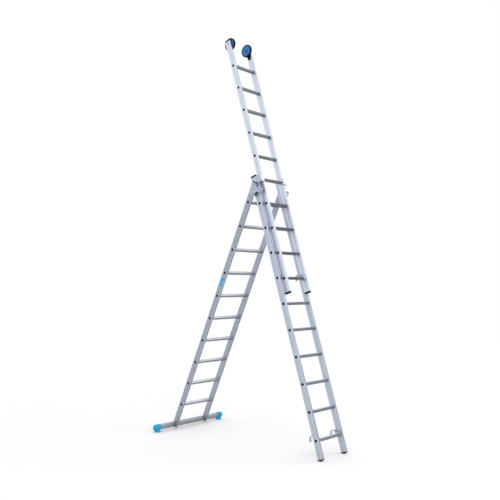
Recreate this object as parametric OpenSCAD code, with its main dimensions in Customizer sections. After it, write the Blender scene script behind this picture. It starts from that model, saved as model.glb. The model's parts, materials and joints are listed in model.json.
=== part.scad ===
// Three-part extension ladder in aluminium, standing open as an A with its top section run out.
// +X runs along the rungs, +Y points from the climbing side to the stabiliser side, +Z is up.
// The floor is z = 0 and the origin is under the middle of the whole ladder.
// Each section is drawn in its own frame: x along the rungs, z up the stiles, y towards the back,
// with its origin at the centre of that section's top rung.

/* [Sections] */
// Overall width of the lower section, over its stiles
lower_w = 500; // [440:5:560]
// Step in width from one section to the next
step_w = 70; // [70:1:76]
// Depth of a stile, front to back
stile_d = 70; // [66:1:76]
// Thickness of a stile
stile_t = 20; // [18:0.5:22]
// Distance from one rung to the next
pitch = 280; // [250:5:300]
// Rungs in each section
rung_count = 10; // [7:1:12]
// Rungs by which the top section is run out
rungs_out = 6; // [3:1:6]
// Distance between the middle planes of two neighbouring sections
section_gap = 60; // [58:1:62]
// How far a hooked section's rungs sit below the rungs they hang on
hook_drop = 20; // [18:1:22]

/* [Lean] */
// Lean of the lower section away from upright
lean_lower = 23.5; // [18:0.5:26]
// Lean of the middle and top sections away from upright
lean_middle = 17.8; // [14:0.1:20]

/* [Stile ends] */
// Lower section, from its top rung to the end of its stiles
lower_head = 223; // [215:1:240]
// Middle section, from its top rung to the end of its stiles
middle_head = 304; // [300:1:325]
// Top section, from its top rung to the end of its stiles
top_head = 311; // [305:1:330]
// Middle section, from its lowest rung to the end of its stiles
middle_tail = 182; // [175:1:200]
// Top section, from its lowest rung to the end of its stiles
top_tail = 149; // [140:1:160]

/* [Rungs] */
// Side of the square rung tube
rung_side = 32; // [30:0.5:33]
// Turn of the rung about its own line, which levels its tread when the ladder leans
rung_tilt = 18; // [14:1:20]
// Wall of the rung tube
rung_wall = 2.5; // [2:0.1:3]
// Outer diameter of the round neck that passes through the stile
neck_d = 26; // [25:0.5:27]
// Bore through the rung
rung_bore = 22; // [20:0.5:23]
// Diameter of the swaged collar outside the stile
collar_d = 30; // [29:0.5:32]
// Height of the swaged collar
collar_h = 0.8; // [0.6:0.1:1]

/* [Hinge] */
// Height of the hinge pin above the lower section's top rung
pivot_up_lower = 105; // [100:1:110]
// Height of the hinge pin above the middle section's top rung
pivot_up_middle = 122; // [118:1:126]
// Hinge pin in front of the lower section's middle plane
pivot_fore_lower = 25; // [24:0.5:25]
// Hinge pin diameter
pin_d = 8; // [8:0.5:9]

/* [Stabiliser] */
// Overall length of the stabiliser bar
bar_l = 1086; // [900:2:1200]
// Height of the bar's profile
bar_h = 56; // [52:1:60]
// Depth of the bar's profile
bar_d = 40; // [36:1:42]
// Height of the bar's middle line above the floor
bar_z = 52; // [50:1:60]

/* [Wheels] */
// Tyre diameter
tyre_d = 150; // [140:1:154]
// Width of the tyre tread
tyre_w = 26; // [22:1:28]
// Diameter of the hub under the tyre
hub_d = 126; // [118:1:128]
// Axle diameter
axle_d = 8; // [7.5:0.5:10]
// Axle below the end of the stile
axle_down = 29; // [26:1:45]

/* [Hidden] */

$fn = 48;
// A hair's overlap, the play of a pin in its hole, and the clearance between moving parts.
eps = 0.01;
play = 0.05;
gap = 0.3;
aluminium = [0.80, 0.81, 0.84];
aluminium_shade = [0.70, 0.71, 0.75];
bracket_grey = [0.45, 0.46, 0.49];
zinc = [0.62, 0.63, 0.66];
black = [0.08, 0.08, 0.09];
foot_blue = [0.06, 0.68, 0.91];
hub_blue = [0.18, 0.50, 0.82];
label_blue = [0.55, 0.78, 0.93];

middle_w = lower_w - step_w;
top_w = middle_w - step_w;
ladder_l = (rung_count - 1) * pitch;
wall = 2;
groove_w = 4;
groove_deep = 0.6;
plate_t = 3;
plug_play = 0.4;
plug_l = 18;
bar_wall = 2.5;
bar_corner = 9;

// Rivets: heights on the lower and middle guides and of the stops, and half the spacing of a pair.
rivet_d = 10;
guide_rivet_y = 15;
lower_rivet_z = 140;
middle_rivet_z = 261;
stop_rivet_z = -7 * pitch + 65;

// Guides: the bottom, the foot of the lip and the top of each, and the width of the lip's overlap.
lower_guide_z = [84, 147, 199];
middle_guide_z = [222, 222, 300];
lip_w = 15;
lower_lip_play = 5;
middle_lip_play = 3.5;
cheek_back = 20;

// Hinge shoe height and inner face, and the bolt that holds the bar.
shoe_h = 76;
shoe_x = middle_w / 2 + 1.5;
bar_bolt_d = 8;
bar_nut_h = 7;

// Label: thickness, width, length, and how far its upper end is below the top rung.
label_t = 0.4;
label_w = 44;
label_l = 140;
label_low = 883;

// Hook: inner and outer radius of the crook, its thickness, and how far its tip comes down.
hook_in = rung_side / 2 * sqrt(2) + 3;
hook_out = hook_in + 13;
hook_t = 22;
tip_down = 16;

// The hook's plate stops in front, short of the stile that slides past it.
hook_front = section_gap - stile_d / 2 - 2;

// Wheel bracket thickness, width and length, and the bush and boss in the wheel.
bracket_t = 4;
bracket_w = 44;
bracket_l = 96;
bush_d = axle_d + 4;
axle_hex = 13;
boss_w = tyre_w + 1;
crown_r = 20;

// Middle section's rubber foot: a sole rounded about a line across the stile.
sole_r = 60;
sole_below = 15;
foot_half_d = stile_d / 2 + 2.5;
sole_axis = ladder_l + middle_tail + sole_below - sole_r;
sole_corner = sole_axis + sqrt(sole_r * sole_r - foot_half_d * foot_half_d);
middle_z = sole_axis * cos(lean_middle) + sole_r;

// Hinge pin relative to the middle section's top rung, then the lower section's top rung from it.
pivot_back_middle = section_gap - pivot_fore_lower;
pivot_dy = pivot_up_middle * sin(lean_middle) + pivot_back_middle * cos(lean_middle);
pivot_dz = pivot_up_middle * cos(lean_middle) - pivot_back_middle * sin(lean_middle);
lower_dy = pivot_dy + pivot_up_lower * sin(lean_lower) + pivot_fore_lower * cos(lean_lower);
lower_dz = pivot_dz - pivot_up_lower * cos(lean_lower) + pivot_fore_lower * sin(lean_lower);
lower_z = middle_z + lower_dz;

// The bar sits in a notch at the back of the lower stiles, and its middle line is bar_z up.
bar_y = stile_d / 2 - bar_d / 2;
bar_down = (lower_z + bar_y * sin(lean_lower) - bar_z) / cos(lean_lower);
bar_back = lower_dy + bar_down * sin(lean_lower) + bar_y * cos(lean_lower);
notch_up = bar_h / 2 + gap;
lower_end = bar_down + bar_h / 2 + 4;
pad_r = 36;

// In front of the bar the stiles are cut level with the bar's lowest edge, and a thin plug shuts them.
cut_z = bar_z - bar_h / 2 * cos(lean_lower) - bar_d / 2 * sin(lean_lower);
front_half = bar_y - bar_d / 2 - gap + stile_d / 2;
end_plug_t = 3;

// Front and back of the whole ladder, measured from the middle section's top rung.
front_y = -sole_corner * sin(lean_middle) - foot_half_d * cos(lean_middle);
back_y = bar_back + pad_r;
middle_y = -(front_y + back_y) / 2;
lower_y = middle_y + lower_dy;

top_shift = rungs_out * pitch - hook_drop;
wheel_x = top_w / 2 - stile_t - 6 - tyre_w / 2;
axle_up = top_head - axle_down;

// ---------- frames ----------

module in_lower() {
    translate([0, lower_y, lower_z])
        rotate([lean_lower, 0, 0])
            children();
}

module in_middle() {
    translate([0, middle_y, middle_z])
        rotate([-lean_middle, 0, 0])
            children();
}

module in_top() {
    in_middle()
        translate([0, -section_gap, top_shift])
            children();
}

// side is 1 for the right stile and -1 for the left one.
module on_side(side) {
    if (side > 0)
        children();
    else
        mirror([1, 0, 0])
            children();
}

module on_both() {
    for (side = [-1, 1])
        on_side(side)
            children();
}

// A cylinder along x, from x0 to x1.
module rod(d, x0, x1) {
    translate([x0, 0, 0])
        rotate([0, 90, 0])
            cylinder(d = d, h = x1 - x0);
}

// ---------- shared shapes ----------

module rounded_rect(w, d, r) {
    square([w - 2 * r, d], center = true);
    square([w, d - 2 * r], center = true);
    for (x = [-1, 1], y = [-1, 1])
        translate([x * (w / 2 - r), y * (d / 2 - r)])
            circle(r);
}

// Cross-section of a stile: a box with shallow lines rolled along its outer and inner faces.
module stile_profile() {
    difference() {
        rounded_rect(stile_t, stile_d, 3);
        rounded_rect(stile_t - 2 * wall, stile_d - 2 * wall, 1.5);
        for (y = [-22, 22])
            translate([stile_t / 2, y])
                square([2 * groove_deep, groove_w], center = true);
        for (y = [-17, 17])
            translate([-stile_t / 2, y])
                square([2 * groove_deep, groove_w], center = true);
        for (x = [-4, 4])
            translate([x, -stile_d / 2])
                square([2, 2 * groove_deep], center = true);
    }
}

// A right-hand stile from z0 to z1 with one cross hole for each rung.
module stile(w, z0, z1) {
    difference() {
        translate([w / 2 - stile_t / 2, 0, z0])
            linear_extrude(z1 - z0)
                stile_profile();
        for (i = [0 : rung_count - 1])
            translate([0, 0, -i * pitch])
                rod(neck_d + 2 * play, w / 2 - stile_t - 1, w / 2 + 1);
    }
}

module rung_profile() {
    difference() {
        rounded_rect(rung_side, rung_side, 5);
        for (x = [-1, 1], y = [-8, -4, 0, 4, 8])
            translate([x * rung_side / 2, y])
                square([1.6, 1.8], center = true);
    }
}

// One rung: a ribbed square tube, closed down at each end to a round neck that is swaged outside.
module rung(w) {
    inner = w - 2 * stile_t;
    outer = w + 2 * collar_h;
    difference() {
        union() {
            rotate([rung_tilt, 0, 0])
                rotate([0, 90, 0])
                    linear_extrude(inner, center = true)
                        rung_profile();
            rod(neck_d, -w / 2, w / 2);
            rod(collar_d, w / 2, outer / 2);
            rod(collar_d, -outer / 2, -w / 2);
        }
        rotate([rung_tilt, 0, 0])
            rotate([0, 90, 0])
                linear_extrude(inner - 12, center = true)
                    rounded_rect(rung_side - 2 * rung_wall, rung_side - 2 * rung_wall, 3);
        rod(rung_bore, -w, w);
    }
}

module rungs(w) {
    for (i = [0 : rung_count - 1])
        translate([0, 0, -i * pitch])
            rung(w);
}

// A cap that stands on a stile's end and has a plug inside it; it points up the stile.
module end_cap(w, h, overhang) {
    translate([w / 2 - stile_t / 2, 0, 0]) {
        linear_extrude(h)
            rounded_rect(stile_t + 2 * overhang, stile_d + 2 * overhang, 3);
        translate([0, 0, -plug_l])
            linear_extrude(plug_l)
                plug_profile();
    }
}

module plug_profile() {
    rounded_rect(stile_t - 2 * wall - plug_play, stile_d - 2 * wall - plug_play, 1.3);
}

// A bent guide: a cheek on the stile's outer face and a lip in front of the section it guides.
module guide_bracket(x_cheek, x_lip, y_lip, heights) {
    depth = y_lip + plate_t + cheek_back;
    z0 = heights[0];
    z_lip = heights[1];
    z1 = heights[2];
    difference() {
        union() {
            translate([x_cheek, -y_lip - plate_t, z0])
                cube([plate_t, depth, z1 - z0]);
            translate([x_lip, -y_lip - plate_t, z_lip])
                cube([x_cheek + plate_t - x_lip, plate_t, z1 - z_lip]);
        }
        translate([x_cheek - 1, -y_lip - plate_t - 1, z0 - 1])
            cube([plate_t + 2, y_lip - stile_d / 2 - 8, z_lip - z0 + 1]);
    }
}

// A domed rivet head on a face whose outward direction is +x, with its shank inside.
module rivet(d, x_face, shank) {
    translate([x_face, 0, 0])
        rotate([0, 90, 0])
            rotate_extrude()
                polygon([[0, 0], [d / 2, 0], [d / 2, 0.6], [d / 3, 1.6], [0, 2]]);
    rod(d / 2, x_face - shank, x_face + eps);
}

// ---------- lower section ----------

// A level slab of the space under the lower stiles, from one height to another.
module level_slab(z0, z1) {
    translate([-lower_w, middle_y, z0])
        cube([2 * lower_w, 2 * back_y, z1 - z0]);
}

module lower_stile(side) {
    color(aluminium_shade) difference() {
        in_lower() on_side(side) difference() {
            stile(lower_w, -lower_end, lower_head);
            translate([lower_w / 2 - stile_t - 1, bar_y - bar_d / 2 - gap, -lower_end - 1])
                cube([stile_t + 2, bar_d + 2, lower_end - bar_down + notch_up + 1]);
            translate([0, -pivot_fore_lower, pivot_up_lower])
                rod(pin_d + 2 * play, lower_w / 2 - stile_t - 1, lower_w / 2 + 1);
            for (y = [-1, 1])
                translate([0, y * guide_rivet_y, lower_rivet_z])
                    rod(rivet_d / 2 + 0.1, lower_w / 2 - wall - 1, lower_w / 2 + 1);
            translate([lower_w / 2 - stile_t / 2, -stile_d / 2 - 1, -bar_down])
                rotate([-90, 0, 0])
                    cylinder(d = bar_bolt_d + 0.4, h = wall + 2);
        }
        level_slab(-bar_z, cut_z);
    }
}

module lower_stile_left() { lower_stile(-1); }
module lower_stile_right() { lower_stile(1); }

module lower_rungs() {
    color(aluminium_shade) in_lower() rungs(lower_w);
}

module lower_top_caps() {
    color(black) in_lower() on_both()
        translate([0, 0, lower_head])
            end_cap(lower_w, 8, 0.6);
}

// A column in the front half of each lower stile, smaller than it by an inset.
module front_column(inset) {
    in_lower() on_both()
        translate([lower_w / 2 - stile_t / 2, -stile_d / 2 + front_half / 2, -lower_end - stile_d])
            linear_extrude(2 * stile_d)
                rounded_rect(stile_t - 2 * inset, front_half - 2 * inset, 2);
}

// A thin level plate under the front half of each lower stile, with a plug up inside it.
module lower_end_plugs() {
    color(black) {
        intersection() {
            front_column(0);
            level_slab(cut_z - end_plug_t, cut_z);
        }
        intersection() {
            front_column(wall + plug_play);
            level_slab(cut_z - eps, cut_z + plug_l / 2);
        }
    }
}

module stabiliser_bar() {
    color(aluminium_shade) in_lower()
        translate([0, bar_y, -bar_down])
            difference() {
                rotate([0, 90, 0])
                    linear_extrude(bar_l, center = true)
                        difference() {
                            rounded_rect(bar_h, bar_d, bar_corner);
                            rounded_rect(bar_h - 2 * bar_wall, bar_d - 2 * bar_wall, bar_corner - bar_wall);
                        }
                for (side = [-1, 1])
                    translate([side * (lower_w - stile_t) / 2, -bar_d, 0])
                        rotate([-90, 0, 0])
                            cylinder(d = bar_bolt_d + 0.4, h = 2 * bar_d);
            }
}

// Moulded foot: a rounded cap over the bar's end, and a pad under it that stands flat on the floor.
module stabiliser_foot(side) {
    cap_l = 84;
    cap_wall = 5;
    end_l = 10;
    pad_h = 9;
    inboard = bar_l / 2 - cap_l + 12;
    color(foot_blue) on_side(side) difference() {
        union() {
            in_lower()
                translate([inboard, bar_y, -bar_down])
                    rotate([0, 90, 0]) {
                        linear_extrude(cap_l - end_l)
                            rounded_rect(bar_h + 2 * cap_wall, bar_d + 2 * cap_wall + 4, 14);
                        translate([0, 0, cap_l - end_l])
                            linear_extrude(end_l)
                                rounded_rect(bar_h + 2, bar_d + 4, 14);
                    }
            translate([inboard + pad_r - 6, middle_y + bar_back, 0]) {
                cylinder(r = pad_r, h = pad_h);
                translate([0, 0, pad_h])
                    cylinder(r1 = pad_r - 4, r2 = 22, h = bar_z - pad_h);
            }
        }
        in_lower()
            translate([inboard - 60, bar_y, -bar_down])
                rotate([0, 90, 0])
                    linear_extrude(60 + cap_l - 12 + gap)
                        rounded_rect(bar_h + 2 * gap, bar_d + 2 * gap, bar_corner + gap);
    }
}

module stabiliser_foot_left() { stabiliser_foot(-1); }
module stabiliser_foot_right() { stabiliser_foot(1); }

// A hex head or nut with its flat face towards +y at y = 0.
module hex_back(across, h) {
    translate([0, -h, 0])
        rotate([-90, 0, 0])
            cylinder(d = across / cos(30), h = h, $fn = 6);
}

module stabiliser_bolts() {
    color(zinc) in_lower() on_both()
        translate([lower_w / 2 - stile_t / 2, -stile_d / 2, -bar_down]) {
            hex_back(13, 5);
            translate([0, -eps, 0])
                rotate([-90, 0, 0])
                    cylinder(d = bar_bolt_d, h = stile_d + bar_nut_h + 5);
        }
}

module stabiliser_nuts() {
    color(zinc) in_lower() on_both()
        translate([lower_w / 2 - stile_t / 2, stile_d / 2 + bar_nut_h, -bar_down])
            difference() {
                hex_back(13, bar_nut_h);
                translate([0, -bar_nut_h - 1, 0])
                    rotate([-90, 0, 0])
                        cylinder(d = bar_bolt_d + 2 * play, h = bar_nut_h + 2);
            }
}

module lower_guide(side) {
    color(bracket_grey) in_lower() on_side(side) difference() {
        guide_bracket(lower_w / 2, middle_w / 2 - lip_w, section_gap + stile_d / 2 + lower_lip_play,
                      lower_guide_z);
        translate([0, -pivot_fore_lower, pivot_up_lower])
            rod(pin_d + 2 * play, lower_w / 2 - 1, lower_w / 2 + plate_t + 1);
        for (y = [-1, 1])
            translate([0, y * guide_rivet_y, lower_rivet_z])
                rod(rivet_d / 2 + 0.1, lower_w / 2 - 1, lower_w / 2 + plate_t + 1);
    }
}

module lower_guide_left() { lower_guide(-1); }
module lower_guide_right() { lower_guide(1); }

module lower_guide_rivets() {
    color(zinc) in_lower() on_both() for (y = [-1, 1])
        translate([0, y * guide_rivet_y, lower_rivet_z])
            rivet(rivet_d, lower_w / 2 + plate_t, plate_t + wall + 1);
}

// Blank label between the fourth and fifth rungs on the left stile's outer face.
module label_plate() {
    color(label_blue) in_lower()
        translate([-lower_w / 2 - label_t, -label_w / 2, -label_low - label_l])
            cube([label_t, label_w, label_l]);
}

// ---------- hinge ----------

// Swivelling shoe: it wraps the middle stile so that the stile can slide, and turns on the hinge pin.
module hinge_shoe(side) {
    reach = stile_d / 2 + gap;
    color(bracket_grey) in_middle() on_side(side)
        translate([0, 0, pivot_up_middle])
            difference() {
                union() {
                    translate([shoe_x, -reach - plate_t, -shoe_h / 2])
                        cube([plate_t, 2 * (reach + plate_t), shoe_h]);
                    for (y = [-reach - plate_t, reach])
                        translate([middle_w / 2 - stile_t + 3, y, -shoe_h / 2])
                            cube([stile_t + 1.5 - 3 + plate_t, plate_t, shoe_h]);
                    translate([0, pivot_back_middle, 0])
                        rod(30, shoe_x, shoe_x + plate_t);
                }
                translate([0, pivot_back_middle, 0])
                    rod(pin_d + 2 * play, shoe_x - 1, shoe_x + plate_t + 1);
            }
}

module hinge_shoe_left() { hinge_shoe(-1); }
module hinge_shoe_right() { hinge_shoe(1); }

module on_pivot() {
    in_middle() on_both()
        translate([0, pivot_back_middle, pivot_up_middle])
            children();
}

module hinge_pins() {
    color(zinc) on_pivot()
        rod(pin_d, shoe_x + play, lower_w / 2 + plate_t + 12);
}

module hinge_bushes() {
    color(black) on_pivot() difference() {
        rod(18, shoe_x + plate_t, lower_w / 2 - stile_t - gap);
        rod(pin_d + 2 * play, shoe_x, lower_w);
    }
}

module hinge_nuts() {
    color(zinc) on_pivot()
        translate([lower_w / 2 + plate_t + gap, 0, 0])
            difference() {
                union() {
                    rod(17, 0, 1.6);
                    rotate([0, 90, 0])
                        cylinder(d = 13 / cos(30), h = 9, $fn = 6);
                }
                rod(pin_d + 2 * play, -1, 10);
            }
}

// ---------- middle section ----------

module middle_stile(side) {
    color(aluminium) in_middle() on_side(side) difference() {
        stile(middle_w, -ladder_l - middle_tail, middle_head);
        for (y = [-1, 1])
            translate([0, y * guide_rivet_y, middle_rivet_z])
                rod(rivet_d / 2 + 0.1, middle_w / 2 - wall - 1, middle_w / 2 + 1);
        translate([0, 0, stop_rivet_z])
            rod(rivet_d / 2 + 0.1, middle_w / 2 - wall - 1, middle_w / 2 + 1);
    }
}

module middle_stile_left() { middle_stile(-1); }
module middle_stile_right() { middle_stile(1); }

module middle_rungs() {
    color(aluminium) in_middle() rungs(middle_w);
}

module middle_top_caps() {
    color(black) in_middle() on_both()
        translate([0, 0, middle_head])
            end_cap(middle_w, 20, 0.8);
}

// Rubber foot: a plug and a sole with a rounded underside, a little larger than the stile.
module middle_foot(side) {
    color(black) in_middle() on_side(side)
        translate([middle_w / 2 - stile_t / 2, 0, 0]) {
            intersection() {
                translate([0, 0, -sole_axis])
                    rod(2 * sole_r, -stile_t, stile_t, $fn = 96);
                translate([0, 0, -ladder_l - middle_tail - 30])
                    linear_extrude(30)
                        rounded_rect(stile_t + 5, 2 * foot_half_d, 4);
            }
            translate([0, 0, -ladder_l - middle_tail])
                linear_extrude(plug_l)
                    plug_profile();
        }
}

module middle_foot_left() { middle_foot(-1); }
module middle_foot_right() { middle_foot(1); }

module middle_guide(side) {
    color(aluminium) in_middle() on_side(side) difference() {
        guide_bracket(middle_w / 2, top_w / 2 - lip_w, section_gap + stile_d / 2 + middle_lip_play,
                      middle_guide_z);
        for (y = [-1, 1])
            translate([0, y * guide_rivet_y, middle_rivet_z])
                rod(rivet_d / 2 + 0.1, middle_w / 2 - 1, middle_w / 2 + plate_t + 1);
    }
}

module middle_guide_left() { middle_guide(-1); }
module middle_guide_right() { middle_guide(1); }

module middle_guide_rivets() {
    color(zinc) in_middle() on_both() for (y = [-1, 1])
        translate([0, y * guide_rivet_y, middle_rivet_z])
            rivet(rivet_d, middle_w / 2 + plate_t, plate_t + wall + 1);
}

// Outline of a hook: a plate around its own rung, and a crook over the next section's rung.
module hook_outline() {
    difference() {
        union() {
            difference() {
                translate([section_gap, hook_drop])
                    circle(hook_out);
                translate([section_gap - hook_out, hook_drop - hook_out - 1])
                    square([2 * hook_out, hook_out + 1]);
            }
            translate([section_gap + hook_in, hook_drop - tip_down])
                square([hook_out - hook_in, tip_down + 1]);
            translate([section_gap + (hook_in + hook_out) / 2, hook_drop - tip_down])
                circle((hook_out - hook_in) / 2);
            intersection() {
                rotate(rung_tilt)
                    rounded_rect(rung_side + 18, rung_side + 22, 10);
                translate([-hook_front, -hook_out])
                    square([2 * hook_out, 2 * hook_out]);
            }
            translate([0, hook_drop - 18])
                square([section_gap - hook_in, 32]);
        }
        translate([section_gap, hook_drop])
            circle(hook_in);
        translate([section_gap - hook_in, hook_drop - 60])
            square([2 * hook_in, 60]);
        rotate(rung_tilt)
            square(rung_side + 2 * play, center = true);
    }
}

// The hook stands against the inner face of the stile, on the section's lowest rung.
module hook(w) {
    translate([w / 2 - stile_t - 1 - hook_t, 0, -ladder_l])
        rotate([90, 0, 90])
            linear_extrude(hook_t)
                hook_outline();
}

module middle_hook_left() { color(bracket_grey) in_middle() on_side(-1) hook(middle_w); }
module middle_hook_right() { color(bracket_grey) in_middle() on_side(1) hook(middle_w); }

module middle_stop_rivets() {
    color(zinc) in_middle() on_both()
        translate([0, 0, stop_rivet_z])
            rivet(rivet_d, middle_w / 2, wall + 1);
}

// ---------- top section ----------

module top_stile(side) {
    color(aluminium) in_top() on_side(side) difference() {
        stile(top_w, -ladder_l - top_tail, top_head);
        translate([0, 0, axle_up])
            rod(axle_d + 2 * play, top_w / 2 - stile_t - 1, top_w / 2 + 1);
        translate([0, 0, stop_rivet_z])
            rod(rivet_d / 2 + 0.1, top_w / 2 - wall - 1, top_w / 2 + 1);
    }
}

module top_stile_left() { top_stile(-1); }
module top_stile_right() { top_stile(1); }

module top_rungs() {
    color(aluminium) in_top() rungs(top_w);
}

module top_end_caps() {
    color(black) in_top() on_both()
        translate([0, 0, top_head])
            end_cap(top_w, 20, 0.8);
}

module top_tail_caps() {
    color(black) in_top() on_both()
        translate([0, 0, -ladder_l - top_tail])
            mirror([0, 0, 1])
                end_cap(top_w, 20, 1.5);
}

module top_hook_left() { color(bracket_grey) in_top() on_side(-1) hook(top_w); }
module top_hook_right() { color(bracket_grey) in_top() on_side(1) hook(top_w); }

module top_stop_rivets() {
    color(zinc) in_top() on_both()
        translate([0, 0, stop_rivet_z])
            rivet(rivet_d, top_w / 2, wall + 1);
}

// ---------- wheels ----------

module on_axle(side) {
    in_top() on_side(side)
        translate([0, 0, axle_up])
            children();
}

// Black plate between the wheel and the stile, running down the stile's inner face.
module wheel_bracket(side) {
    color(black) on_axle(side) difference() {
        translate([top_w / 2 - stile_t - bracket_t, 0, 0])
            rotate([90, 0, 90])
                linear_extrude(bracket_t) {
                    circle(d = bracket_w);
                    translate([-bracket_w / 2, -bracket_l])
                        square([bracket_w, bracket_l]);
                    translate([0, -bracket_l])
                        circle(d = bracket_w);
                }
        rod(axle_d + 2 * play, top_w / 2 - stile_t - bracket_t - 1, top_w / 2);
    }
}

module wheel_bracket_left() { wheel_bracket(-1); }
module wheel_bracket_right() { wheel_bracket(1); }

module axle_bolt(side) {
    color(zinc) on_axle(side) {
        rod(axle_d, wheel_x - boss_w / 2 - 14, top_w / 2 + eps);
        translate([top_w / 2, 0, 0])
            rotate([0, 90, 0])
                cylinder(d = axle_hex / cos(30), h = 5, $fn = 6);
    }
}

module axle_bolt_left() { axle_bolt(-1); }
module axle_bolt_right() { axle_bolt(1); }

module axle_spacers() {
    x0 = wheel_x + boss_w / 2 + gap;
    color(zinc) for (side = [-1, 1])
        on_axle(side) difference() {
            rod(18, x0, top_w / 2 - stile_t - bracket_t);
            rod(axle_d + 2 * play, x0 - 1, top_w);
        }
}

module axle_nuts() {
    x1 = wheel_x - boss_w / 2 - gap;
    color(zinc) for (side = [-1, 1])
        on_axle(side) difference() {
            union() {
                rod(2 * axle_d + 1, x1 - 1.6, x1);
                translate([x1 - 8, 0, 0])
                    rotate([0, 90, 0])
                        cylinder(d = axle_hex / cos(30), h = 7, $fn = 6);
            }
            rod(axle_d + 2 * play, x1 - 20, x1 + 1);
        }
}

// The wheel's parts turn about x at wheel_x; a profile is drawn as [radius, width].
module spun(side) {
    on_axle(side)
        translate([wheel_x, 0, 0])
            rotate([0, 90, 0])
                rotate_extrude($fn = 72)
                    children();
}

module wheel_hub(side) {
    web = 3;
    rim_in = hub_d / 2 - 7;
    color(hub_blue) spun(side) {
        translate([bush_d / 2 + play, -boss_w / 2])
            square([6, boss_w]);
        translate([bush_d / 2 + 5, -web])
            square([rim_in - bush_d / 2 - 4, 2 * web]);
        translate([rim_in, -tyre_w / 2 + 2])
            square([hub_d / 2 - rim_in, tyre_w - 4]);
    }
}

module wheel_tyre(side) {
    crown = (tyre_d - hub_d) / 2;
    color(black) spun(side)
        translate([hub_d / 2 + play, 0])
            intersection() {
                translate([0, -tyre_w / 2])
                    square([crown - play, tyre_w]);
                translate([crown - play - crown_r, 0])
                    circle(crown_r);
            }
}

module wheel_bush(side) {
    color(zinc) spun(side)
        translate([axle_d / 2 + play, -boss_w / 2])
            square([bush_d / 2 - axle_d / 2 - play, boss_w]);
}

module wheel_hub_left() { wheel_hub(-1); }
module wheel_hub_right() { wheel_hub(1); }
module wheel_tyre_left() { wheel_tyre(-1); }
module wheel_tyre_right() { wheel_tyre(1); }
module wheel_bush_left() { wheel_bush(-1); }
module wheel_bush_right() { wheel_bush(1); }

lower_stile_left();
lower_stile_right();
lower_rungs();
lower_top_caps();
lower_end_plugs();
stabiliser_bar();
stabiliser_foot_left();
stabiliser_foot_right();
stabiliser_bolts();
stabiliser_nuts();
lower_guide_left();
lower_guide_right();
lower_guide_rivets();
label_plate();
hinge_shoe_left();
hinge_shoe_right();
hinge_pins();
hinge_bushes();
hinge_nuts();
middle_stile_left();
middle_stile_right();
middle_rungs();
middle_top_caps();
middle_foot_left();
middle_foot_right();
middle_guide_left();
middle_guide_right();
middle_guide_rivets();
middle_hook_left();
middle_hook_right();
middle_stop_rivets();
top_stile_left();
top_stile_right();
top_rungs();
top_end_caps();
top_tail_caps();
top_hook_left();
top_hook_right();
top_stop_rivets();
wheel_bracket_left();
wheel_bracket_right();
axle_bolt_left();
axle_bolt_right();
axle_spacers();
axle_nuts();
wheel_hub_left();
wheel_tyre_left();
wheel_bush_left();
wheel_hub_right();
wheel_tyre_right();
wheel_bush_right();
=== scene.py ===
# %% [markdown]
# # A three-part extension ladder
# The ladder stands open as an A, with its top section run out. Its frame is already fixed: every
# stile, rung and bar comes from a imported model, and each one rides on a body that can move. This
# lesson gives the ladder its finishes, and swaps the moulded, bent and turned pieces for finer ones.
#
# The frame could be copied in by hand, but loading it keeps every hole and joint where it belongs.

# %% Load the frame
import json
import math

import bpy
import numpy as np
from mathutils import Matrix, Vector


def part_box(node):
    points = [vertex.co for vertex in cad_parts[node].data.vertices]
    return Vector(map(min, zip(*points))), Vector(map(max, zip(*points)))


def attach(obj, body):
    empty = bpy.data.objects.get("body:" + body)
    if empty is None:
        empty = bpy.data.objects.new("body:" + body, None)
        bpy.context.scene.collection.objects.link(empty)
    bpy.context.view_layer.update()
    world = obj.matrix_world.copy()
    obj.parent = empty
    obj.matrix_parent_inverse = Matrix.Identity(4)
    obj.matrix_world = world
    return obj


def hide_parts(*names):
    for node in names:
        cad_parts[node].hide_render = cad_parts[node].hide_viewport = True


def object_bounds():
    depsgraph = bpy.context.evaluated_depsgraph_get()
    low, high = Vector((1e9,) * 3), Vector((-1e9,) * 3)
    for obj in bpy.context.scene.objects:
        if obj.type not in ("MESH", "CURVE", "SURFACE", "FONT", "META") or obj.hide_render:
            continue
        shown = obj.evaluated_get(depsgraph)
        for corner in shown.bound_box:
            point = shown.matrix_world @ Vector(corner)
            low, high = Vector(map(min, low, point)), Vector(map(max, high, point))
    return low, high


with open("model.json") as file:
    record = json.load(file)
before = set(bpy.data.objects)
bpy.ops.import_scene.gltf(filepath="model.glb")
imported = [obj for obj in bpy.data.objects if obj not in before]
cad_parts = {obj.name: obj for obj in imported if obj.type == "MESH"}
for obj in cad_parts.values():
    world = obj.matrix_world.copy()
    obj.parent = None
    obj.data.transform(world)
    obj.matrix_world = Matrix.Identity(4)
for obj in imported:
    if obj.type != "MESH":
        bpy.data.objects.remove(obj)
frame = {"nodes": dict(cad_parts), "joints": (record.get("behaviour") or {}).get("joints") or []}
cad_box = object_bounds()
nodes = frame["nodes"]
joints = {joint["name"]: joint for joint in frame["joints"]}

# %% [markdown]
# ## Where things are
# Each section of the ladder leans, so it is easier to draw a hook or a cap in the section's own
# axes: x along the rungs, y towards the back, z up the stiles, from the middle of the top rung.
# The hinge pin and the line that the sections slide along say where those axes lie.

# %% Section axes
MM = 0.001
LOWER_WIDTH, MIDDLE_WIDTH, TOP_WIDTH = 500 * MM, 430 * MM, 360 * MM
STILE_DEPTH, STILE_THICK, STILE_WALL = 70 * MM, 20 * MM, 2 * MM
RUNG_PITCH, RUNG_COUNT, RUNG_SIDE = 280 * MM, 10, 32 * MM
SECTION_GAP, HOOK_DROP, RUNGS_OUT = 60 * MM, 20 * MM, 6
PIN_UP_LOWER, PIN_UP_MIDDLE, PIN_FORE_LOWER = 105 * MM, 122 * MM, 25 * MM
LOWEST_RUNG = -(RUNG_COUNT - 1) * RUNG_PITCH
RUNG_TILT = math.radians(18)

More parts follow.
